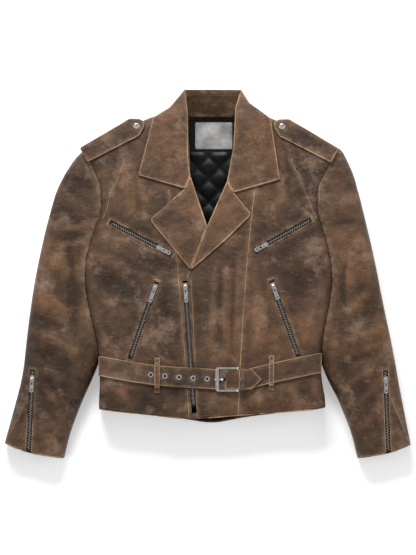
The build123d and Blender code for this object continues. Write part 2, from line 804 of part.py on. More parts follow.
def make_shoulder_strap(side, root, way):
    plane = Plane(origin=(*root, strap_low), x_dir=(*way, 0), z_dir=(0, 0, 1))
    with BuildPart() as strap:
        with BuildSketch(plane):
            with BuildLine():
                Polyline(
                    (0, -strap_root / 2),
                    (strap_length - 22, -strap_width / 2),
                    (strap_length - 6, -strap_width / 4),
                    (strap_length, 0),
                    (strap_length - 6, strap_width / 4),
                    (strap_length - 22, strap_width / 2),
                    (0, strap_root / 2),
                    close=True,
                )
            make_face()
            with Locations((snap_place, 0)):
                Circle(socket_radius, mode=Mode.SUBTRACT)
        extrude(amount=strap_thickness)
    save(strap, f"{side}_shoulder_strap")
    with BuildPart() as cap:
        with BuildSketch(Plane(plane.from_local_coords((snap_place, 0, 0)), plane.x_dir, plane.z_dir)):
            Circle(socket_radius)
            Circle(socket_bore, mode=Mode.SUBTRACT)
        extrude(amount=strap_thickness)
        cap_seat = plane.from_local_coords((snap_place, 0, strap_thickness))
        with BuildSketch(Plane(cap_seat, plane.x_dir, plane.z_dir)):
            Circle(snap_radius)
        extrude(amount=snap_dome)
        fillet(cap.faces().sort_by(Axis.Z)[-1].edges(), snap_dome - 0.5)
    save(cap, f"{side}_snap_cap")
    return plane.from_local_coords((snap_place, 0, 0))


snap_points = [
    make_shoulder_strap("right", right_strap_root, right_strap_way),
    make_shoulder_strap("left", left_strap_root, left_strap_way),
]
with BuildPart() as snap_studs:
    for point in snap_points:
        with BuildSketch(Plane((point.X, point.Y, body_depth))):
            Circle(socket_radius)
        extrude(amount=0.8)
        with BuildSketch(Plane((point.X, point.Y, body_depth + 0.8))):
            Circle(stud_radius)
        extrude(amount=2.0)
save(snap_studs, "snap_studs")

# ---- Sleeves ----
sleeve_slope = (cap_height - cuff_height) / (590 * long)


def sleeve_top(y):
    """The height of a sleeve's upper face."""
    return cuff_height + sleeve_slope * (y + 354 * long)


def sleeve_block(outer, inner, grow, low, drop, top_radius, bottom_radius):
    """A sleeve as one solid, longer than its cuff."""
    lid = Plane(origin=(0, 0, sleeve_top(0) - drop), x_dir=(1, 0, 0), z_dir=(0, -sleeve_slope, 1))
    with BuildPart() as block:
        with BuildSketch(Plane.XY.offset(low)):
            with BuildLine():
                soft_outline(outer + inner[:-1], -grow, sleeve_corner)
            make_face()
        extrude(amount=2 * cap_height)
        split(bisect_by=lid, keep=Keep.BOTTOM)
        fillet(block.faces().sort_by(Axis.Z)[-1].edges(), top_radius)
        fillet(block.faces().sort_by(Axis.Z)[0].edges(), bottom_radius)
    return block.part


def envelope(grow):
    """The body grown all round, which the sleeves keep clear of."""
    return torso_block(back_hem, grow, -grow, body_depth + grow, edge_radius + grow, back_edge_radius + grow)


sock_outside = leather + tape_drop + tape + 0.4
sock_inside = sock_outside + sleeve_lining
wall_mouths = mouths()
envelopes = {inset: envelope(sleeve_gap + inset) for inset in (0, leather, sock_outside, sock_inside)}


def sleeve_solid(outer, inner, inset):
    """A sleeve's solid, inset all round from its leather's face and kept clear of the body."""
    with BuildPart() as solid:
        round_top = sleeve_radius - inset
        round_back = sleeve_back_radius - inset
        add(sleeve_block(outer, inner, -inset, inset, inset, round_top, round_back))
        add(envelopes[inset], mode=Mode.SUBTRACT)
    return solid.part


def swing_centre(tip, neck, armhole):
    """Where the body's shoulder line runs into its rounded tip: the sleeve swings about this point."""
    along = (Vector(*neck) - Vector(*tip)).normalized()
    down = (Vector(*armhole) - Vector(*tip)).normalized()
    reach = corner_radius / tan(radians(along.get_angle(down)) / 2)
    return Vector(*tip) + along * reach, along


def shoulder_guard(centre, along, sign):
    """The space on the neck's side of the swing centre, which no sleeve may enter."""
    down = Vector(sign * -along.Y, sign * along.X)
    near = centre - along * 0.5
    corners_in_plan = [
        near - down * 60,
        near + down * FAR,
        near + down * FAR + along * FAR,
        near - down * 60 + along * FAR,
    ]
    return prism([(p.X, p.Y) for p in corners_in_plan], -10, 2 * body_depth)


def sleeve_tube(outer, inner, keep, guard, outside, inside):
    """A sleeve's wall between two insets, open at the armhole and at the cuff."""
    with BuildPart() as tube:
        add(sleeve_solid(outer, inner, outside))
        add(sleeve_solid(outer, inner, inside), mode=Mode.SUBTRACT)
        add(wall_mouths, mode=Mode.SUBTRACT)
        add(guard, mode=Mode.SUBTRACT)
        add(keep, mode=Mode.INTERSECT)
    return tube.part


def make_sleeve(side, outer, inner, cuff, gusset, zip_ends):
    sign = -1 if side == "right" else 1
    keep = prism(
        [
            (sign * FAR, cuff[0][1] + 18.0),
            cuff[0],
            cuff[1],
            cuff[2],
            (0, cuff[2][1] - 12.0),
            (0, FAR),
            (sign * FAR, FAR),
        ],
        -10,
        body_depth + 50,
    )
    zip_height = sleeve_top(zip_ends[0][1])
    plane = chain_plane(*zip_ends, zip_height, sleeve_slope)
    length = chain_length(*zip_ends, sleeve_slope)
    gap = chain_slot(plane, length, 0.0, 40.0)
    tape_widths = (cuff_tape, tape_half) if side == "right" else (tape_half, cuff_tape)
    rebate = tape_rebate(plane, length, tape_widths)
    gusset_area = prism(gusset, sleeve_seam, body_depth + 20)

    if side == "right":
        centre, along = swing_centre(right_side_run[0], neck_right, right_side_run[1])
    else:
        centre, along = swing_centre(left_side_run[0], neck_left, left_side_run[1])
    guard = shoulder_guard(centre, along, sign)
    tube = sleeve_tube(outer, inner, keep, guard, 0, leather)
    with BuildPart() as upper:
        add(tube)
        with Locations((0, 0, sleeve_seam + FAR / 2)):
            Box(4 * FAR, 4 * FAR, FAR, mode=Mode.INTERSECT)
        add(gusset_area, mode=Mode.SUBTRACT)
        add(gap, mode=Mode.SUBTRACT)
        add(rebate, mode=Mode.SUBTRACT)
    save(upper, f"{side}_sleeve_upper")
    with BuildPart() as under:
        add(tube)
        with Locations((0, 0, sleeve_seam - FAR / 2)):
            Box(4 * FAR, 4 * FAR, FAR, mode=Mode.INTERSECT)
    save(under, f"{side}_sleeve_under")
    with BuildPart() as wedge:
        add(tube)
        add(gusset_area, mode=Mode.INTERSECT)
        add(gap, mode=Mode.SUBTRACT)
    save(wedge, f"{side}_cuff_gusset")

    with BuildPart() as sock:
        add(sleeve_tube(outer, inner, keep, guard, sock_outside, sock_inside))
    save(sock, f"{side}_sleeve_lining")

    make_chain(f"{side}_cuff_zip", plane, length, tape_widths)
    make_slider(f"{side}_cuff_zip", plane, 17.0)
    make_pull(f"{side}_cuff_zip", plane, 17.0, 26.0)


make_sleeve("right", right_sleeve_outer, right_sleeve_inner, right_cuff, right_gusset, right_cuff_zip)
make_sleeve("left", left_sleeve_outer, left_sleeve_inner, left_cuff, left_gusset, left_cuff_zip)
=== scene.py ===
"""Leather riding jacket: the looks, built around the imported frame.

Shapes are worked out in mm, which MM turns into metres. Shader distances, the lamps and the camera are in
metres.
"""
import json
import math

import bmesh
import bpy
import numpy as np
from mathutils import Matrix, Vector, noise
from mathutils.bvhtree import BVHTree
from mathutils.kdtree import KDTree

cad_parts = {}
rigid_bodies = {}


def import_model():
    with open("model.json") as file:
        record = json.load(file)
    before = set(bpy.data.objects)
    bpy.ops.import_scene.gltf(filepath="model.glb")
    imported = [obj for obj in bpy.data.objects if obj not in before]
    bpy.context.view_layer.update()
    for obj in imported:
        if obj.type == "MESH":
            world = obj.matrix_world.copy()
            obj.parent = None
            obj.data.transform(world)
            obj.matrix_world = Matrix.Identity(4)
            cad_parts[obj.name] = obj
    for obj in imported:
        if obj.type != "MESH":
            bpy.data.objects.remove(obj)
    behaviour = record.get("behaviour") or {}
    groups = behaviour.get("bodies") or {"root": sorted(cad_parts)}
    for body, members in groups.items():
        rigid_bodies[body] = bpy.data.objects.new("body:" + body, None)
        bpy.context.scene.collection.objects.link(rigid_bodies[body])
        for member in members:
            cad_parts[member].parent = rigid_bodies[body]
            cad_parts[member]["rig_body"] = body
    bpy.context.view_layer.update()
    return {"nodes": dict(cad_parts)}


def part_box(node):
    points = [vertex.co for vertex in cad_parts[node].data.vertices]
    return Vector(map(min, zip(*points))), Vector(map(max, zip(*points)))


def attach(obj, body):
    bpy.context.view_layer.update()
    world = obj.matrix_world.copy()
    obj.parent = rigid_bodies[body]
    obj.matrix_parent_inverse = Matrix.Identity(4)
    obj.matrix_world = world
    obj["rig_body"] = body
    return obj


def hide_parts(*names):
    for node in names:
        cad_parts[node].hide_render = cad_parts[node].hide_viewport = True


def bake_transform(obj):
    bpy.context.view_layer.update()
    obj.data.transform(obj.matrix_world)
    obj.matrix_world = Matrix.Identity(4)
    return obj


MM = 0.001
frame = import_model()
nodes = frame["nodes"]


# ---------------------------------------------------------------- shader helpers
def ramp(tree, source, stops):
    """A colour ramp of (place, colour) stops, driven by a socket."""
    made = tree.nodes.new("ShaderNodeValToRGB")
    tree.links.new(source, made.inputs[0])
    elements = made.color_ramp.elements
    while len(elements) < len(stops):
        elements.new(0.5)
    for element, (place, colour) in zip(elements, stops):
        element.position = place
        element.color = (*colour, 1) if len(colour) == 3 else colour
    return made.outputs[0]


def grey(level):
    return (level, level, level)


def mix(tree, factor, low, high, how="MIX"):
    """Two colours mixed. Each value is a socket, a number or a colour."""
    made = tree.nodes.new("ShaderNodeMix")
    made.data_type = "RGBA"
    made.blend_type = how
    for socket, value in ((made.inputs[0], factor), (made.inputs[6], low), (made.inputs[7], high)):
        if isinstance(value, bpy.types.NodeSocket):
            tree.links.new(value, socket)
        elif isinstance(value, (int, float)):
            socket.default_value = value
        else:
            socket.default_value = (*value, 1)
    return made.outputs[2]


def product(tree, a, b):
    made = tree.nodes.new("ShaderNodeMath")
    made.operation = "MULTIPLY"
    tree.links.new(a, made.inputs[0])
    tree.links.new(b, made.inputs[1])
    return made.outputs[0]


def material(name):
    """A new material with a shader, and the place on the object that its patterns are drawn at."""
    made = bpy.data.materials.new(name)
    made.use_nodes = True
    tree = made.node_tree
    tree.nodes.clear()
    out = tree.nodes.new("ShaderNodeOutputMaterial")
    shader = tree.nodes.new("ShaderNodeBsdfPrincipled")
    tree.links.new(shader.outputs[0], out.inputs[0])
    place = tree.nodes.new("ShaderNodeTexCoord").outputs["Object"]
    return made, tree, shader, place


def cells(tree, place, scale, detail=3.0, rough=0.55, stretch=None, turn=0.0):
    """Noise at a scale, stretched and turned if it runs in a direction."""
    if stretch:
        mapped = tree.nodes.new("ShaderNodeMapping")
        tree.links.new(place, mapped.inputs[0])
        mapped.inputs["Scale"].default_value = stretch
        mapped.inputs["Rotation"].default_value = (0, 0, turn)
        place = mapped.outputs[0]
    made = tree.nodes.new("ShaderNodeTexNoise")
    tree.links.new(place, made.inputs["Vector"])
    made.inputs["Scale"].default_value = scale
    made.inputs["Detail"].default_value = detail
    made.inputs["Roughness"].default_value = rough
    return made.outputs[0]


def leather_material(name, dark, middle, warm, rubbed, roughness=(0.38, 0.6), rub=1.0):
    """Distressed leather: big patches, mottling, fine scratches, grain, and painted fold light: a painted
    highlight on raised folds (partly rub wear) and painted shade in creases.
    """
    made, tree, shader, place = material(name)
    patches = cells(tree, place, 8.0, 4.0, 0.6)
    colour = ramp(tree, patches, [(0.3, dark), (0.47, middle), (0.62, warm), (0.75, middle)])
    mottling = cells(tree, place, 42.0, 6.0, 0.65)
    mottle = ramp(tree, mottling, [(0.33, grey(0.58)), (0.5, grey(1.0)), (0.7, grey(1.45))])
    colour = mix(tree, 0.85, colour, mottle, "MULTIPLY")
    speckle = ramp(tree, cells(tree, place, 260.0, 3.0, 0.6), [(0.3, grey(0.82)), (0.7, grey(1.15))])
    colour = mix(tree, 0.8, colour, speckle, "MULTIPLY")
    # painted fold light: the rise darkens the colour in creases (painted shade) and lightens it on raised
    # folds (painted highlight, partly rub wear)
    painted_fold_light = tree.nodes.new("ShaderNodeAttribute")
    painted_fold_light.attribute_name = "painted_fold_light"
    height = ramp(tree, painted_fold_light.outputs["Fac"], [(0.15, grey(0.58)), (0.45, grey(0.97)), (0.85, grey(1.65))])
    colour = mix(tree, 1.0, colour, height, "MULTIPLY")
    for turn, share in ((0.6, 0.42), (-0.75, 0.34), (1.45, 0.30)):
        streaks = cells(tree, place, 3.2, 9.0, 0.72, (9.0, 34.0, 20.0), turn)
        streak = ramp(tree, streaks, [(0.61, grey(0.0)), (0.71, grey(share * rub))])
        colour = mix(tree, streak, colour, rubbed)
    blotch = cells(tree, place, 17.0, 7.0, 0.7)
    lifted = ramp(tree, blotch, [(0.53, grey(0.0)), (0.68, grey(0.55 * rub))])
    colour = mix(tree, lifted, colour, rubbed)
    wear = tree.nodes.new("ShaderNodeAttribute")
    wear.attribute_name = "wear"
    broken = ramp(tree, cells(tree, place, 75.0, 5.0, 0.7), [(0.40, grey(0.0)), (0.64, grey(0.55))])
    worn = product(tree, wear.outputs["Fac"], broken)
    colour = mix(tree, worn, colour, rubbed)
    tree.links.new(colour, shader.inputs["Base Color"])
    low, high = roughness
    gloss = ramp(tree, cells(tree, place, 26.0, 5.0, 0.6), [(0.35, grey(low)), (0.65, grey(high))])
    tree.links.new(gloss, shader.inputs["Roughness"])
    shader.inputs["Specular IOR Level"].default_value = 0.27
    pores = tree.nodes.new("ShaderNodeTexVoronoi")
    tree.links.new(place, pores.inputs["Vector"])
    pores.feature = "DISTANCE_TO_EDGE"
    pores.inputs["Scale"].default_value = 520.0
    grain = tree.nodes.new("ShaderNodeBump")
    grain.inputs["Strength"].default_value = 0.28
    grain.inputs["Distance"].default_value = 0.0005
    tree.links.new(pores.outputs["Distance"], grain.inputs["Height"])
    crease = tree.nodes.new("ShaderNodeBump")
    crease.inputs["Strength"].default_value = 0.75
    crease.inputs["Distance"].default_value = 0.0036
    tree.links.new(cells(tree, place, 62.0, 7.0, 0.62, (1.0, 1.25, 1.0), 0.9), crease.inputs["Height"])
    tree.links.new(grain.outputs[0], crease.inputs["Normal"])
    tree.links.new(crease.outputs[0], shader.inputs["Normal"])
    return made


def cloth_material(name, low, high, roughness, scale, bump=0.3):
    """Cloth: mottled colour, uneven gloss and a fine weave."""
    made, tree, shader, place = material(name)
    colour = ramp(tree, cells(tree, place, scale, 4.0, 0.6), [(0.3, low), (0.7, high)])
    tree.links.new(colour, shader.inputs["Base Color"])
    uneven = cells(tree, place, scale * 0.3, 3.0)
    gloss = ramp(tree, uneven, [(0.3, grey(roughness * 0.8)), (0.7, grey(roughness * 1.2))])
    tree.links.new(gloss, shader.inputs["Roughness"])
    shader.inputs["Specular IOR Level"].default_value = 0.3
    weave = tree.nodes.new("ShaderNodeTexWave")
    tree.links.new(place, weave.inputs["Vector"])
    weave.inputs["Scale"].default_value = 300.0
    weave.inputs["Distortion"].default_value = 2.0
    lifted = tree.nodes.new("ShaderNodeBump")
    lifted.inputs["Strength"].default_value = bump
    lifted.inputs["Distance"].default_value = 0.0004
    tree.links.new(weave.outputs["Fac"], lifted.inputs["Height"])
    tree.links.new(lifted.outputs[0], shader.inputs["Normal"])
    return made


def metal_material(name, low, high, roughness):
    """Worn metal: clouded colour, uneven gloss and long fine scratches."""
    made, tree, shader, place = material(name)
    colour = ramp(tree, cells(tree, place, 220.0, 5.0, 0.7), [(0.3, low), (0.6, high)])
    tree.links.new(colour, shader.inputs["Base Color"])
    shader.inputs["Metallic"].default_value = 1.0
    uneven = cells(tree, place, 400.0, 4.0)
    gloss = ramp(tree, uneven, [(0.3, grey(roughness * 0.7)), (0.7, grey(roughness * 1.4))])
    tree.links.new(gloss, shader.inputs["Roughness"])
    scratch = tree.nodes.new("ShaderNodeBump")
    scratch.inputs["Strength"].default_value = 0.2
    scratch.inputs["Distance"].default_value = 0.0002
    tree.links.new(cells(tree, place, 60.0, 6.0, 0.7, (4.0, 40.0, 4.0), 0.8), scratch.inputs["Height"])
    tree.links.new(scratch.outputs[0], shader.inputs["Normal"])
    return made


RUBBED = (0.300, 0.205, 0.145)
leather = leather_material(
    "body_leather",
    dark=(0.036, 0.0195, 0.0110),
    middle=(0.062, 0.034, 0.019),
    warm=(0.096, 0.048, 0.024),
    rubbed=RUBBED,
)
trim_leather = leather_material(
    "trim_leather",
    dark=(0.028, 0.016, 0.009),
    middle=(0.056, 0.032, 0.019),
    warm=(0.080, 0.043, 0.024),
    rubbed=RUBBED,
    rub=0.8,
)
edge_tan = leather_material(
    "worn_edge",
    dark=(0.20, 0.105, 0.05),
    middle=(0.46, 0.26, 0.135),
    warm=(0.60, 0.38, 0.215),
    rubbed=(0.66, 0.48, 0.32),
    roughness=(0.5, 0.7),
    rub=0.6,
)
thread = cloth_material("thread", (0.16, 0.085, 0.042), (0.34, 0.2, 0.11), 0.7, 500.0)
satin = cloth_material("black_satin", (0.0015, 0.0015, 0.002), (0.006, 0.006, 0.0065), 0.34, 90.0)
dark_cloth = cloth_material("zip_tape", (0.022, 0.013, 0.008), (0.060, 0.036, 0.022), 0.8, 300.0)
# The label patch's colour spreads from near black to near white: painted sheen on dark grey satin.
patch_cloth_painted_sheen = cloth_material("patch_satin_painted_sheen", (0.03, 0.03, 0.032), (0.70, 0.69, 0.68), 0.28, 14.0, 0.15)
steel = metal_material("zip_steel", (0.48, 0.47, 0.45), (0.80, 0.79, 0.77), 0.26)
bright = metal_material("buckle_steel", (0.52, 0.50, 0.48), (0.86, 0.85, 0.83), 0.22)

# ---------------------------------------------------------------- shape field
FRONT_HEIGHT = 75.0  # of the front leather, as laid
QUIET = [  # from, to, reach, fade: where the leather stays as the frame has it, round the hardware
    ((-43, -16), (-25, -285), 11, 16), ((-185, 97), (-68, 36), 11, 14), ((200, 104), (99, 49), 11, 14),
    ((-97, -16), (-148, -163), 11, 14), ((121, -14), (172, -158), 11, 14),
    ((-205, -176), (-55, -197), 24, 14), ((-55, -197), (60, -201), 25, 14),
    ((60, -200), (215, -170), 24, 14), ((-88, 320), (-86, 205), 46, 10), ((96, 320), (98, 205), 44, 10),
    ((-68, 112), (-34, 60), 44, 10), ((46, 112), (20, 60), 42, 10), ((10, 60), (-34, 0), 20, 10),
    ((-30, 180), (-4, 90), 10, 8), ((36, 180), (0, 90), 10, 8), ((-250, 216), (-122, 290), 25, 10),
    ((256, 216), (130, 290), 25, 10), ((-38, 330), (52, 330), 40, 10),
    ((-334, -175), (-346, -345), 13, 14), ((339, -175), (348, -345), 13, 14),
]
FOLDS = [  # from, to, half width, height: soft folds, and creases where the height is negative
    ((16, 60), (6, -150), 6, 1.9), ((28, 40), (20, -150), 4.5, -1.5), ((39, 55), (34, -160), 7, 2.1),
    ((50, 30), (46, -150), 4.5, -1.6), ((61, 60), (55, -160), 5.5, 1.7), ((86, 150), (70, 60), 6, 1.6),
    ((-160, 205), (-142, 120), 9, 2.0), ((-140, 190), (-128, 110), 6, -1.3),
    ((132, 215), (140, 135), 8, 2.2), ((148, 205), (158, 140), 5, -1.4),
    ((-205, 30), (-110, -15), 9, 1.7), ((-212, 5), (-120, -55), 8, -1.4),
    ((-218, -30), (-140, -95), 10, 1.9), ((-200, -95), (-160, -150), 8, -1.3),
    ((-90, 90), (-60, 80), 7, 1.0), ((100, -10), (92, -150), 9, 1.8), ((198, 60), (150, 10), 10, 1.7),
    ((215, 20), (160, -45), 9, -1.4), ((222, -20), (190, -120), 9, 1.9),
    ((-170, -212), (-150, -255), 9, 1.6), ((-120, -225), (-112, -262), 7, -1.2),
    ((-75, -230), (-66, -268), 8, 1.4), ((10, -235), (6, -265), 6, 1.5),
    ((38, -235), (42, -262), 6, 1.4), ((95, -225), (104, -260), 9, 1.5),
    ((160, -215), (168, -255), 9, 1.5),
    # sleeves
    ((-300, 175), (-240, 120), 12, 2.6), ((-312, 120), (-232, 88), 7, -2.0),
    ((-285, 82), (-226, 92), 5, 2.4), ((-280, 66), (-226, 76), 4, -2.0),
    ((-275, 52), (-230, 58), 5, 2.2), ((-300, 30), (-250, -10), 14, 2.8),
    ((-262, 60), (-252, -120), 8, -2.6), ((-318, -40), (-262, -80), 10, 2.0),
    ((-325, -80), (-255, -118), 7, -1.8), ((-332, -110), (-250, -150), 9, 2.4),
    ((-322, -150), (-262, -172), 6, -1.8), ((-318, -178), (-272, -205), 8, 2.2),
    ((-316, -215), (-286, -250), 6, 2.4), ((-306, -205), (-276, -238), 4, -1.6),
    ((-330, -258), (-290, -300), 8, 1.9), ((-320, -300), (-285, -338), 8, 1.6),
    ((300, 150), (242, 120), 12, 2.4), ((305, 100), (236, 92), 8, -1.8),
    ((290, 60), (262, -40), 12, 2.6), ((262, 40), (256, -100), 6, -2.2),
    ((316, -30), (262, -75), 10, 2.2), ((324, -70), (256, -112), 7, -1.8),
    ((330, -105), (256, -142), 9, 2.4), ((322, -150), (268, -172), 6, -1.8),
    ((318, -182), (276, -210), 8, 2.2), ((314, -222), (284, -252), 6, 1.9),
    ((326, -262), (292, -300), 8, 1.9),
]


def smooth(low, high, value):
    """0 below low, 1 above high, and an even S between them."""
    t = np.clip((value - low) / (high - low), 0, 1)
    return t * t * (3 - 2 * t)


def from_line(x, y, a, b):
    """Distance from the stretch a to b, and how far along it, for arrays."""
    ax, ay, bx, by = a[0], a[1], b[0], b[1]
    dx, dy = bx - ax, by - ay
    t = np.clip(((x - ax) * dx + (y - ay) * dy) / (dx * dx + dy * dy), 0, 1)
    return np.hypot(x - ax - t * dx, y - ay - t * dy), t


def ripple(points, across, along, seed):
    """Noise of the given sizes (mm) at each point, seen from above."""
    return np.array([noise.noise((x / across, y / along, seed)) for x, y in points[:, :2]])


def lift(points, low=-1.9):
    """How far the leather rises at each point (mm), from where it is."""
    x, y = points[:, 0], points[:, 1]
    calm = np.ones(len(x))
    for a, b, reach, fade in QUIET:
        d, _ = from_line(x, y, a, b)
        calm *= smooth(reach, reach + fade, d)
    wide, near, fine = ripple(points, 82, 82, 1.3), ripple(points, 31, 36, 7.7), ripple(points, 13, 15, 3.1)
    rise = 2.6 * wide + 1.3 * near + 0.45 * fine
    for a, b, half, height in FOLDS:
        d, t = from_line(x, y, a, b)
        ends = 0.35 + 0.65 * np.sin(np.pi * np.clip(t, 0.02, 0.98))
        rise += 1.5 * height * np.exp(-((d / half) ** 2)) * ends
    return np.clip(rise * calm, low, 5.4)


HEM = ((-209, -260), (-32, -278.5), (59, -271), (228, -258))
HEM_SIDES = ((1, -209.0), (-1, 228.0))  # the way inwards and the place of each side of the body
HEM_CORNER = 28.0  # radius of the frame's hem corners, seen from above
FRONT_EDGE = 22.0  # radius of the frame's front edge


def squared(u, v, size, share):
    """Moves points near a round corner out towards a square one. u and v run inwards from its sides."""
    du, dv = size - u, size - v
    inside = (du > 0) & (dv > 0) & (u > -8) & (v > -8)
    most = np.maximum(np.maximum(du, dv), 1e-6)
    far = np.hypot(du, dv)
    grow = 1 + (far / most - 1) * share * smooth(0, size, far)
    grow = np.where(inside, grow, 1)
    return size - du * grow, size - dv * grow


def crisp_hem(points):
    """The body's hem is cut square: its corners and its front edge are less rounded than the frame's."""
    x, y, z = points.T
    body = (y < -215) & (x > -232) & (x < 246)
    if not body.any():
        return points
    bottom = np.interp(x, [p[0] for p in HEM], [p[1] for p in HEM])
    out = points.copy()
    for side, corner in HEM_SIDES:
        u, v = (x - corner) * side, y - bottom
        u2, v2 = squared(u, v, HEM_CORNER, 0.8)
        near = body & (u < HEM_CORNER) & (u > -8)
        out[:, 0] = np.where(near, corner + u2 * side, out[:, 0])
        out[:, 1] = np.where(near, bottom + v2, out[:, 1])
    v, w = out[:, 1] - bottom, FRONT_HEIGHT - z
    v2, w2 = squared(v, w, FRONT_EDGE, 0.72)
    rim = body & (z > 50) & (v < FRONT_EDGE)
    out[:, 1] = np.where(rim, bottom + v2, out[:, 1])
    out[:, 2] = np.where(rim, FRONT_HEIGHT - w2, out[:, 2])
    return out


def placed(points):
    """Points (mm) moved by the field: up on the front, a little on the back, none at the floor."""
    front = smooth(22, 58, points[:, 2])
    rise = lift(points)
    moved = points.copy()
    moved[:, 2] += rise * front
    back = (1 - smooth(4, 26, points[:, 2])) * np.clip(lift(points, 0.0), 0, 1.6)
    moved[:, 2] += back * smooth(0.0, 2.0, back)
    return crisp_hem(moved), rise * front


# ---------------------------------------------------------------- mesh helpers
def turns(edge, angle=0.7):
    """Whether the surface turns at this edge by more than the angle (radians)."""
    return len(edge.link_faces) == 2 and edge.calc_face_angle(0) > angle


def middle_of(edge):
    return ((edge.verts[0].co + edge.verts[1].co) / 2 / MM).to_tuple()


def grid_cut(bm, cell):
    """Cuts a mesh on evenly spaced planes, so that it can bend."""
    for axis, step in enumerate(cell):
        if not step:
            continue
        values = [v.co[axis] / MM for v in bm.verts]
        low, high = min(values), max(values)
        normal = Vector((0, 0, 0))
        normal[axis] = 1
        place = math.floor(low / step) * step + step
        while place < high - 0.2:
            if place > low + 0.2:
                point = Vector((0, 0, 0))
                point[axis] = place * MM
                everything = bm.verts[:] + bm.edges[:] + bm.faces[:]
                bmesh.ops.bisect_plane(bm, geom=everything, dist=2e-6, plane_co=point, plane_no=normal)
            place += step


def source_mesh(name, bevel=0.0):
    """A frame node's mesh with its flat faces joined, and its sharp edges rounded if bevel is given."""
    bm = bmesh.new()
    bm.from_mesh(nodes[name].data)
    bmesh.ops.remove_doubles(bm, verts=bm.verts[:], dist=2e-6)
    bmesh.ops.dissolve_limit(bm, angle_limit=0.004, verts=bm.verts[:], edges=bm.edges[:])
    if bevel:
        sharp = [e for e in bm.edges if turns(e, 0.8)]
        bmesh.ops.bevel(
            bm, geom=sharp, offset=bevel * MM, segments=2, profile=0.6, affect="EDGES", clamp_overlap=True
        )
    return bm


def soft_object(name, bm, mat, angle=42):
    """A smooth-shaded object made from bm, with edges kept sharp above the angle (degrees)."""
    mesh = bpy.data.meshes.new(name)
    bm.to_mesh(mesh)
    bm.free()
    made = bpy.data.objects.new(name, mesh)
    bpy.context.scene.collection.objects.link(made)
    mesh.materials.append(mat)
    mesh.polygons.foreach_set("use_smooth", [True] * len(mesh.polygons))
    mesh.set_sharp_from_angle(angle=math.radians(angle))
    return made


def leather_piece(cad, mat, cell, bevel=0.0, extra=None, sheet_field=True):
    """A piece made from its frame node: cut fine, then shaped by the field and by extra(points, near).

    near is each point's distance from the piece's rim. The materials read it as wear, and the rise as
    painted shade in creases and a painted highlight on raised folds.
    """
    bm = source_mesh(cad, bevel)
    rim_points = [middle_of(e) for e in bm.edges if turns(e)]
    grid_cut(bm, cell)
    rim_points += [middle_of(e) for e in bm.edges if turns(e)]
    points = np.array([v.co[:] for v in bm.verts]) / MM
    tree = KDTree(len(rim_points))
    for i, p in enumerate(rim_points):
        tree.insert(p, i)
    tree.balance()
    near = np.array([tree.find(p)[2] for p in points])
    moved, rise = placed(points) if sheet_field else (points.copy(), np.zeros(len(points)))
    if extra is not None:
        add = extra(points, near)
        moved = moved + add
        rise = rise + add[:, 2]
    for v, p in zip(bm.verts, moved):
        v.co = p * MM
    made = soft_object("look_" + cad, bm, mat)
    wear = made.data.attributes.new("wear", "FLOAT", "POINT")
    wear.data.foreach_set("value", np.clip(1 - near / 9.0, 0, 1).astype(np.float32))
    # the rise, kept for the leather's painted shade in creases and painted highlight on raised folds
    painted_fold_light = made.data.attributes.new("painted_fold_light", "FLOAT", "POINT")
    painted_fold_light.data.foreach_set("value", np.clip(0.5 + rise / 5.5, 0, 1).astype(np.float32))
    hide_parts(cad)
    return made


def resampled(points, pitch):
    """A smooth line through the points, at an even pitch."""
    pts = [np.array(p, float) for p in points]
    pts = [2 * pts[0] - pts[1], *pts, 2 * pts[-1] - pts[-2]]
    line = []
    for p0, p1, p2, p3 in zip(pts, pts[1:], pts[2:], pts[3:]):
        bend = 2 * p0 - 5 * p1 + 4 * p2 - p3
        twist = 3 * p1 - p0 - 3 * p2 + p3
        for t in np.linspace(0, 1, 12, endpoint=False):
            line.append(0.5 * (2 * p1 + (p2 - p0) * t + bend * t * t + twist * t ** 3))
    line.append(pts[-2])
    line = np.array(line)
    step = np.r_[0, np.cumsum(np.linalg.norm(np.diff(line, axis=0), axis=1))]
    count = max(2, int(round(step[-1] / pitch)) + 1)
    places = np.linspace(0, step[-1], count)
    return np.stack([np.interp(places, step, line[:, k]) for k in range(line.shape[1])], axis=1)


def surface_of(objects):
    """The objects' surfaces together, for dropping lines on."""
    verts, faces = [], []
    for o in objects:
        start = len(verts)
        verts += [v.co.copy() for v in o.data.vertices]
        faces += [tuple(start + i for i in p.vertices) for p in o.data.polygons]
    return BVHTree.FromPolygons(verts, faces)


def dropped(line, tree, raise_by=0.0):
    """Each point of a flat line put on the surface under it, with the surface's normal."""
    out = []
    for x, y in line[:, :2]:
        hit, normal, _, _ = tree.ray_cast(Vector((x * MM, y * MM, 0.3)), Vector((0, 0, -1)))
        if hit is None or normal.z < 0.15:
            out.append(None)
            continue
        out.append((hit / MM + normal * raise_by, normal))
    return out


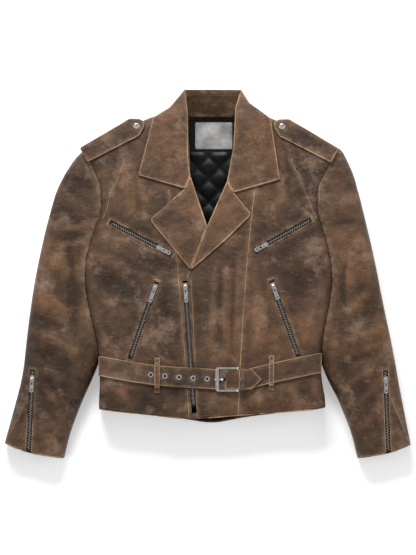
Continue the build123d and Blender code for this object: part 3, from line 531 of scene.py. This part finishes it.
class Builder:
    """Collects many small pieces in one mesh."""

    def __init__(self):
        self.verts, self.faces = [], []

    def tube(self, run, radius, sides=6, flat=1.0):
        """A tube along (point, normal) pairs, thinner at its ends."""
        if len(run) < 3:
            return
        start = len(self.verts)
        pts = [r[0] for r in run]
        for i, (p, n) in enumerate(run):
            t = (pts[min(i + 1, len(pts) - 1)] - pts[max(i - 1, 0)]).normalized()
            b = n.cross(t).normalized()
            up = t.cross(b).normalized()
            taper = 0.25 if i in (0, len(run) - 1) else 1.0
            wobble = 1 + 0.12 * noise.noise((p.x / 6, p.y / 6, 2.0))
            for k in range(sides):
                a = 2 * math.pi * k / sides
                self.verts.append(p + (b * math.cos(a) + up * math.sin(a) * flat) * radius * taper * wobble)
        for i in range(len(run) - 1):
            for k in range(sides):
                a, b = start + i * sides + k, start + i * sides + (k + 1) % sides
                self.faces.append((a, b, b + sides, a + sides))
        self.faces.append(tuple(start + k for k in reversed(range(sides))))
        last = start + (len(run) - 1) * sides
        self.faces.append(tuple(last + k for k in range(sides)))

    def runs(self, line, tree, radius, raise_by=0.0, flat=1.0):
        """Tubes along a line dropped on a surface, broken where it steps by more than 5 mm."""
        run = []
        for item in dropped(line, tree, raise_by):
            if item is None or (run and abs(item[0].z - run[-1][0].z) > 5):
                self.tube(run, radius, flat=flat)
                run = [item] if item else []
            else:
                run.append(item)
        self.tube(run, radius, flat=flat)

    def stitches(self, line, tree, pitch=3.4, length=2.3, radius=0.36):
        """One short thread at each pitch of a line, its ends sunk in the surface."""
        flat = resampled(line, pitch)
        for a, b in zip(flat, flat[1:]):
            middle = (a + b) / 2
            item = dropped(np.array([middle]), tree, 0.12)[0]
            if item is None:
                continue
            p, n = item
            t = Vector((*(b - a)[:2], 0)).normalized()
            t = (t - n * t.dot(n)).normalized()
            s = n.cross(t)
            start = len(self.verts)
            self.verts.append(p - t * length / 2 - n * 0.25)
            for along in (-0.28, 0.28):
                for k in range(5):
                    angle = 2 * math.pi * k / 5
                    round_it = (s * math.cos(angle) + n * math.sin(angle)) * radius
                    self.verts.append(p + t * along * length + round_it)
            self.verts.append(p + t * length / 2 - n * 0.25)
            for k in range(5):
                m = (k + 1) % 5
                self.faces.append((start, start + 1 + m, start + 1 + k))
                self.faces.append((start + 1 + k, start + 1 + m, start + 6 + m, start + 6 + k))
                self.faces.append((start + 11, start + 6 + k, start + 6 + m))

    def made(self, name, mat, slot):
        mesh = bpy.data.meshes.new(name)
        mesh.from_pydata([tuple(v * MM) for v in self.verts], [], self.faces)
        mesh.polygons.foreach_set("use_smooth", [True] * len(mesh.polygons))
        mesh.materials.append(mat)
        obj = bpy.data.objects.new(name, mesh)
        bpy.context.scene.collection.objects.link(obj)
        return obj


def offset(line, amount):
    """A flat line moved sideways, to the left of its direction."""
    line = np.array(line, float)[:, :2]
    t = np.gradient(line, axis=0)
    t /= np.linalg.norm(t, axis=1)[:, None]
    return line + np.stack([-t[:, 1], t[:, 0]], axis=1) * amount


def rims(cad):
    """The runs of a node's upper rim, each as its points (mm) and whether it closes."""
    bm = source_mesh(cad)
    chosen = [e for e in bm.edges if turns(e) and max(f.normal.z for f in e.link_faces) > 0.6]
    links = {}
    for e in chosen:
        for a, b in ((0, 1), (1, 0)):
            links.setdefault(e.verts[a].index, []).append(e.verts[b].index)
    co = {v.index: v.co / MM for v in bm.verts}
    used, found = set(), []
    for first in sorted(links, key=lambda i: (len(links[i]) != 1, i)):
        if first in used:
            continue
        run, here = [first], first
        used.add(first)
        while True:
            onward = [i for i in links[here] if i not in used]
            if not onward:
                break
            here = onward[0]
            used.add(here)
            run.append(here)
        closed = first in links[here] and len(run) > 2
        found.append(([co[i].to_tuple() for i in run], closed))
    bm.free()
    return found


def rim_line(points, closed, pitch):
    """A rim's points at an even pitch, with straight runs kept straight."""
    pts = np.array(points + ([points[0]] if closed else []))
    step = np.r_[0, np.cumsum(np.linalg.norm(np.diff(pts, axis=0), axis=1))]
    count = max(4, int(round(step[-1] / pitch)) + 1)
    places = np.linspace(0, step[-1], count)
    return np.stack([np.interp(places, step, pts[:, k]) for k in range(3)], axis=1)


def inward(line, amount):
    """A closed or open rim moved towards its own inside, flat."""
    area = 0.5 * np.sum(line[:-1, 0] * line[1:, 1] - line[1:, 0] * line[:-1, 1])
    return offset(line, amount if area > 0 else -amount)


# ---------------------------------------------------------------- leather pieces
def puffed(height, reach):
    """A soft crown: the piece rises away from its rim."""

    def extra(points, near):
        add = np.zeros_like(points)
        top = points[:, 2] > np.median(points[:, 2])
        add[:, 2] = smooth(0, reach, near) * (height + 0.7 * ripple(points, 24, 24, 4.4))
        add[:, 2] = np.where(top, add[:, 2], np.minimum(add[:, 2], 0.15))
        return add

    return extra


BACK_CORNERS = (-47.0, 66.0)  # the wings' top corners, which hide the ends of the collar's back


def narrowed(name):
    """The collar's back stays behind the wings' top corners."""
    low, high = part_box(name)
    ends = (low.x / MM, high.x / MM)
    kept = (max(ends[0], BACK_CORNERS[0]), min(ends[1], BACK_CORNERS[1]))

    def extra(points, near):
        add = np.zeros_like(points)
        goal = np.interp(points[:, 0], ends, kept)
        add[:, 0] = (goal - points[:, 0]) * smooth(318, 336, points[:, 1])
        add[:, 2] = 0.8 * ripple(points, 9, 26, 5.0)
        return add

    return extra


def pair(name):
    return f"right_{name}", f"left_{name}"


FRONTS = (
    "right_front_panel",
    "centre_front_panel",
    "left_front_panel",
    "right_zip_facing",
    *pair("shoulder_panel"),
)
WINGS, LAPELS = pair("collar_wing"), pair("lapel")
BELT = ("belt_strap", "belt_short_end", "belt_loops")
TRIMS = ("belt_keeper", "pocket_welts")
front = [leather_piece(n, leather, (5, 5, 7)) for n in FRONTS]
back = leather_piece("back_panel", leather, (9, 9, 7))
for piece in (*front, back):
    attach(piece, "body")
neck = [leather_piece(n, leather, (5, 5, 5), extra=narrowed(n)) for n in ("collar_stand", "back_collar")]
facing = leather_piece("back_neck_facing", satin, (6, 6, 0))
wings = [leather_piece(n, leather, (4, 4, 0), 0.9, puffed(1.1, 14), sheet_field=False) for n in WINGS]
lapels = [leather_piece(n, leather, (4, 4, 0), 0.9, puffed(1.2, 12), sheet_field=False) for n in LAPELS]
belt = [leather_piece(n, trim_leather, (5, 4, 0), 0.7, puffed(0.35, 8), sheet_field=False) for n in BELT]
trims = [leather_piece(n, trim_leather, (4, 4, 4), 0.35, sheet_field=False) for n in TRIMS]
for piece in (*neck, facing, *wings, *lapels, *belt, *trims):
    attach(piece, "body")
straps = {}
for side in ("right", "left"):
    name = f"{side}_shoulder_strap"
    straps[side] = leather_piece(name, trim_leather, (4, 4, 0), 0.9, puffed(0.3, 8), sheet_field=False)
    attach(straps[side], name)

PIVOT = {"right": (-217, 248), "left": (227.7, 249.6)}  # where each sleeve turns
SIGN = {"right": -1, "left": 1}
BEND = (79, 230)  # the stretch beyond the pivot, down the arm, over which the sleeve would bend; nothing uses it to bend


def bend_sleeve(piece, side):
    """Bakes the piece's placement into its mesh.

    The stretch where the sleeve would bend is worked out but not used, and the piece is attached to no body.
    """
    sign, (px, py) = SIGN[side], PIVOT[side]
    aim = Vector((sign * 0.6, -0.8, 0))
    middle = Vector((px, py, 40))
    start, end = ((middle + aim * along) * MM for along in BEND)
    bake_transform(piece)
    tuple(start)
    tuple(end)


sleeves = {}
for side in ("right", "left"):
    sleeves[side] = [
        leather_piece(f"{side}_sleeve_upper", leather, (5, 5, 7)),
        leather_piece(f"{side}_cuff_gusset", leather, (4, 5, 7)),
        leather_piece(f"{side}_sleeve_under", leather, (9, 9, 7)),
        leather_piece(f"{side}_sleeve_lining", satin, (12, 12, 0), sheet_field=False),
    ]


# ---------------------------------------------------------------- lining and patch
def quilting(points, near):
    """Diamond pillows below the seam, flat above it, gently sagging."""
    x, y = points[:, 0], points[:, 1]
    u, v = (x - 1.7) / 43 + (y - 226) / 44, (x - 1.7) / 43 - (y - 226) / 44
    pillow = np.sqrt(np.abs(np.sin(np.pi * u) * np.sin(np.pi * v)) + 1e-6)
    add = np.zeros_like(points)
    add[:, 2] = (4.4 * pillow - 0.8) * (1 - smooth(228, 238, y)) + 0.8 * ripple(points, 30, 26, 9.0)
    return add


quilt = leather_piece("quilted_lining", satin, (3.5, 3.5, 0), 0, quilting, False)
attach(quilt, "body")


def patch_wave(points, near):
    add = np.zeros_like(points)
    add[:, 2] = 0.5 * ripple(points, 22, 18, 2.0)
    return add


patch = leather_piece("label_patch", patch_cloth_painted_sheen, (4, 4, 0), 0.2, patch_wave, False)
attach(patch, "body")

# ---------------------------------------------------------------- trims
panels = surface_of(front)
SEAMS = [  # line, width of the worn edge, stitch rows to its left (+) or right (-)
    ([(89, 155), (83, 104.5), (72, -16.5), (62, -173), (58, -271)], 1.25, (-3.4,)),
    ([(-74.5, 160), (-60, 39), (-46, -120), (-35, -277)], 0.95, (3.0, -3.2)),
    ([(-32, -11), (-26, -120), (-19.5, -276)], 0.95, (3.0,)),
    ([(-158, 213), (-174, 174), (-184, 155), (-191, 126), (-200, 103)], 0.8, (3.0,)),
    ([(158.5, 216), (183, 162), (196, 129), (207, 103)], 0.8, (-3.0,)),
    ([(-205, -258), (-120, -267.6), (-36, -276.2)], 1.4, (4.5,)),
    ([(-20, -275.8), (58, -269.3), (140, -263.2), (224, -256.3)], 1.4, (4.5,)),
    ([(-33, 6), (-38, -6), (-41, -16)], 1.1, ()),
]
ZIPS = (  # the two ends of each pocket's zip: the chest zips, then the hand zips
    ((-185, 97), (-68, 36.5)),
    ((196, 102.3), (99, 49)),
    ((-97, -16.5), (-148, -163)),
    ((121, -14), (172.5, -157.5)),
)


def beside(a, b, shift, pitch):
    """A straight line from a to b, moved sideways by shift."""
    return resampled([a + shift, (a + b) / 2 + shift, b + shift], pitch)


edges, sewing = Builder(), Builder()
for points, width, rows in SEAMS:
    line = resampled(points, 2.5)
    edges.runs(line, panels, width, 0.1, 0.8)
    for row in rows:
        sewing.stitches(offset(line, row), panels)
for a, b in ZIPS:
    a, b = np.array(a, float), np.array(b, float)
    along = (b - a) / np.linalg.norm(b - a)
    across = np.array([-along[1], along[0]])
    a, b = a - along * 3, b + along * 3
    for side in (-1, 1):
        edges.runs(beside(a, b, across * side * 5.3, 2.5), panels, 0.85, 0.1, 0.8)
        for row in (8.0, 10.4):
            sewing.stitches(beside(a, b, across * side * row, 3), panels)
    for end, out in ((a, -1), (b, 1)):
        here = end + along * out * 1.2
        edges.runs(resampled([here - across * 7.5, here, here + across * 7.5], 1.5), panels, 1.5, 0.1, 0.6)
        here = end + along * out * 5
        sewing.stitches(resampled([here - across * 8, here, here + across * 8], 2), panels)


def trim_rim(name, tree, rim, seam, width, rows):
    """A worn edge round a node's rim, and rows of stitches inside it. Short rims stay plain."""
    for points, closed in rims(name):
        line = rim_line(points, closed, 2.5)
        if len(line) < 9:
            continue
        rim.runs(inward(line, 0.9), tree, width, -0.15, 0.9)
        for row in rows:
            seam.stitches(inward(line, row), tree)


for group, names, width, rows in (
    (wings, WINGS, 1.5, (4.2,)), (lapels, LAPELS, 1.5, (4.2, 7.2)), (belt, BELT, 1.15, (3.4,)),
):
    tree = surface_of(group)
    for name in names:
        trim_rim(name, tree, edges, sewing, width, rows)
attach(edges.made("worn_edges", edge_tan, "leather"), "body")

patch_tree = surface_of([patch])
for points, closed in rims("label_patch"):
    sewing.stitches(inward(rim_line(points, closed, 2.0), 1.8), patch_tree, 2.6, 1.7, 0.25)
neck_tree = surface_of(neck)
sewing.stitches(resampled([(-40, 343), (5, 342), (54, 342)], 3), neck_tree)
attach(sewing.made("stitching", thread, "leather"), "body")

SLEEVE_SEAMS = {  # as SEAMS: the cuff's hem, the gusset, along the zip, and the armhole
    "right": (
        ([(-386, -325.5), (-342, -342), (-279, -352.5)], 1.2, (-4.5,)),
        ([(-339, -226), (-360, -272), (-386, -321)], 0.8, (-3.0,)),
        ([(-328.6, -181), (-337, -341)], 0.8, (3.0,)),
        ([(-339.6, -181), (-341.5, -228)], 0.8, ()),
        ([(-341, -230), (-348, -339)], 0.7, ()),
        ([(-222, 206), (-208, 168), (-206, 130)], 0.7, (-3.0,)),
    ),
    "left": (
        ([(386, -331), (346, -342), (291, -351.5)], 1.2, (4.5,)),
        ([(345, -226), (366, -276), (386, -324)], 0.8, (3.0,)),
        ([(333.5, -183), (340.5, -342)], 0.8, (-3.0,)),
        ([(344.6, -183), (347, -228)], 0.8, ()),
        ([(346, -230), (351, -340)], 0.7, ()),
        ([(226, 206), (213, 168), (213, 130)], 0.7, (3.0,)),
    ),
}


def with_middle(points):
    """A line of two points gets a third between them."""
    if len(points) > 2:
        return points
    a, b = points
    return [a, tuple((np.array(a) + b) / 2), b]


for side in ("right", "left"):
    name = f"{side}_shoulder_strap"
    rim, seam = Builder(), Builder()
    trim_rim(name, surface_of([straps[side]]), rim, seam, 1.4, (4.0,))
    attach(rim.made(f"{side}_strap_edge", edge_tan, "leather"), name)
    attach(seam.made(f"{side}_strap_stitching", thread, "leather"), name)

    tree = surface_of(sleeves[side][:2])
    rim, seam = Builder(), Builder()
    for points, width, rows in SLEEVE_SEAMS[side]:
        line = resampled(with_middle(points), 2.5)
        rim.runs(line, tree, width, 0.1, 0.8)
        for row in rows:
            seam.stitches(offset(line, row), tree)
    sleeve_rim = rim.made(f"{side}_sleeve_edges", edge_tan, "leather")
    sleeve_sewing = seam.made(f"{side}_sleeve_stitching", thread, "leather")
    for piece in (*sleeves[side], sleeve_rim, sleeve_sewing):
        bend_sleeve(piece, side)


# ---------------------------------------------------------------- frame nodes that stay
def finish_of(name):
    """The material of a node that is still shown here: hardware, lining or zip chain."""
    if name.endswith(("_slider", "_pull")) or "snap" in name:
        return steel
    if name.startswith("buckle") or name == "belt_eyelets":
        return bright
    if name == "pocket_bags" or "lining" in name:
        return satin
    return dark_cloth


for name, obj in nodes.items():
    if not obj.hide_render:
        obj.data.materials.clear()
        obj.data.materials.append(finish_of(name))
        obj.data.polygons.foreach_set("use_smooth", [True] * len(obj.data.polygons))
        obj.data.set_sharp_from_angle(angle=math.radians(35))

TAPE_FINISH, TOOTH_FINISH = 0, 1  # places of a chain's two materials
LONGEST_TOOTH = 0.012  # metres: a longer solid of a chain is a tape


def islands(bm):
    """The faces of each separate solid in a mesh."""
    left = set(bm.faces)
    while left:
        island, stack = [], [left.pop()]
        while stack:
            face = stack.pop()
            island.append(face)
            for edge in face.edges:
                for other in edge.link_faces:
                    if other in left:
                        left.remove(other)
                        stack.append(other)
        yield island


for name, obj in nodes.items():
    if not name.endswith("_chain"):
        continue
    bm = bmesh.new()
    bm.from_mesh(obj.data)
    bmesh.ops.remove_doubles(bm, verts=bm.verts[:], dist=1e-6)
    for island in islands(bm):
        corners = [v.co for f in island for v in f.verts]
        span = max(max(c[k] for c in corners) - min(c[k] for c in corners) for k in range(3))
        for face in island:
            face.material_index = TOOTH_FINISH if span < LONGEST_TOOTH else TAPE_FINISH
    sharp = [e for e in bm.edges if e.is_manifold and e.calc_face_angle(0) > 0.8]
    bmesh.ops.bevel(bm, geom=sharp, offset=0.00022, segments=1, affect="EDGES")
    made = soft_object("look_" + name, bm, dark_cloth, 35)
    made.data.materials.append(steel)
    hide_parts(name)
    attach(made, obj["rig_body"])


# ---------------------------------------------------------------- floor, light, camera
def stage_material():
    """Pale paper, which glows a little so that it stays white away from the lamps."""
    made, tree, shader, place = material("floor_paper")
    colour = ramp(tree, cells(tree, place, 3.0, 2.0), [(0.3, grey(0.90)), (0.7, grey(0.93))])
    tree.links.new(colour, shader.inputs["Base Color"])
    shader.inputs["Roughness"].default_value = 0.9
    shader.inputs["Emission Color"].default_value = (1, 1, 1, 1)
    shader.inputs["Emission Strength"].default_value = 0.34
    return made


bpy.ops.mesh.primitive_plane_add(size=60, location=(0, 0, -0.0006))
floor = bpy.context.object
floor.name = "floor"
floor.data.materials.append(stage_material())

world = bpy.data.worlds.new("studio")
bpy.context.scene.world = world
world.use_nodes = True
world.node_tree.nodes["Background"].inputs[0].default_value = (1, 1, 1, 1)
world.node_tree.nodes["Background"].inputs[1].default_value = 0.40


def lamp(name, place, size, power):
    """A soft rectangular lamp aimed at the origin."""
    light = bpy.data.lights.new(name, "AREA")
    light.energy, light.shape, light.size, light.size_y = power, "RECTANGLE", size[0], size[1]
    made = bpy.data.objects.new(name, light)
    made.location = place
    made.rotation_euler = (-Vector(place)).to_track_quat("-Z", "Y").to_euler()
    bpy.context.scene.collection.objects.link(made)


lamp("key", (-0.35, 1.9, 1.75), (1.1, 0.6), 62)
lamp("fill_left", (-2.1, -0.3, 1.5), (1.2, 1.6), 12)
lamp("fill_right", (2.1, 0.2, 1.5), (1.2, 1.6), 12)

camera = bpy.data.cameras.new("camera")
camera.lens = 135
camera.sensor_width = 36
camera.clip_end = 50
viewer = bpy.data.objects.new("camera", camera)
TALL = 1.0545  # metres of height that the picture takes in, at the front's level
FRONT_LEVEL = 0.072
viewer.location = (0.0006, -0.0074, FRONT_LEVEL + TALL * camera.lens / camera.sensor_width)
bpy.context.scene.collection.objects.link(viewer)
bpy.context.scene.camera = viewer
bpy.context.scene.view_settings.view_transform = "Standard"
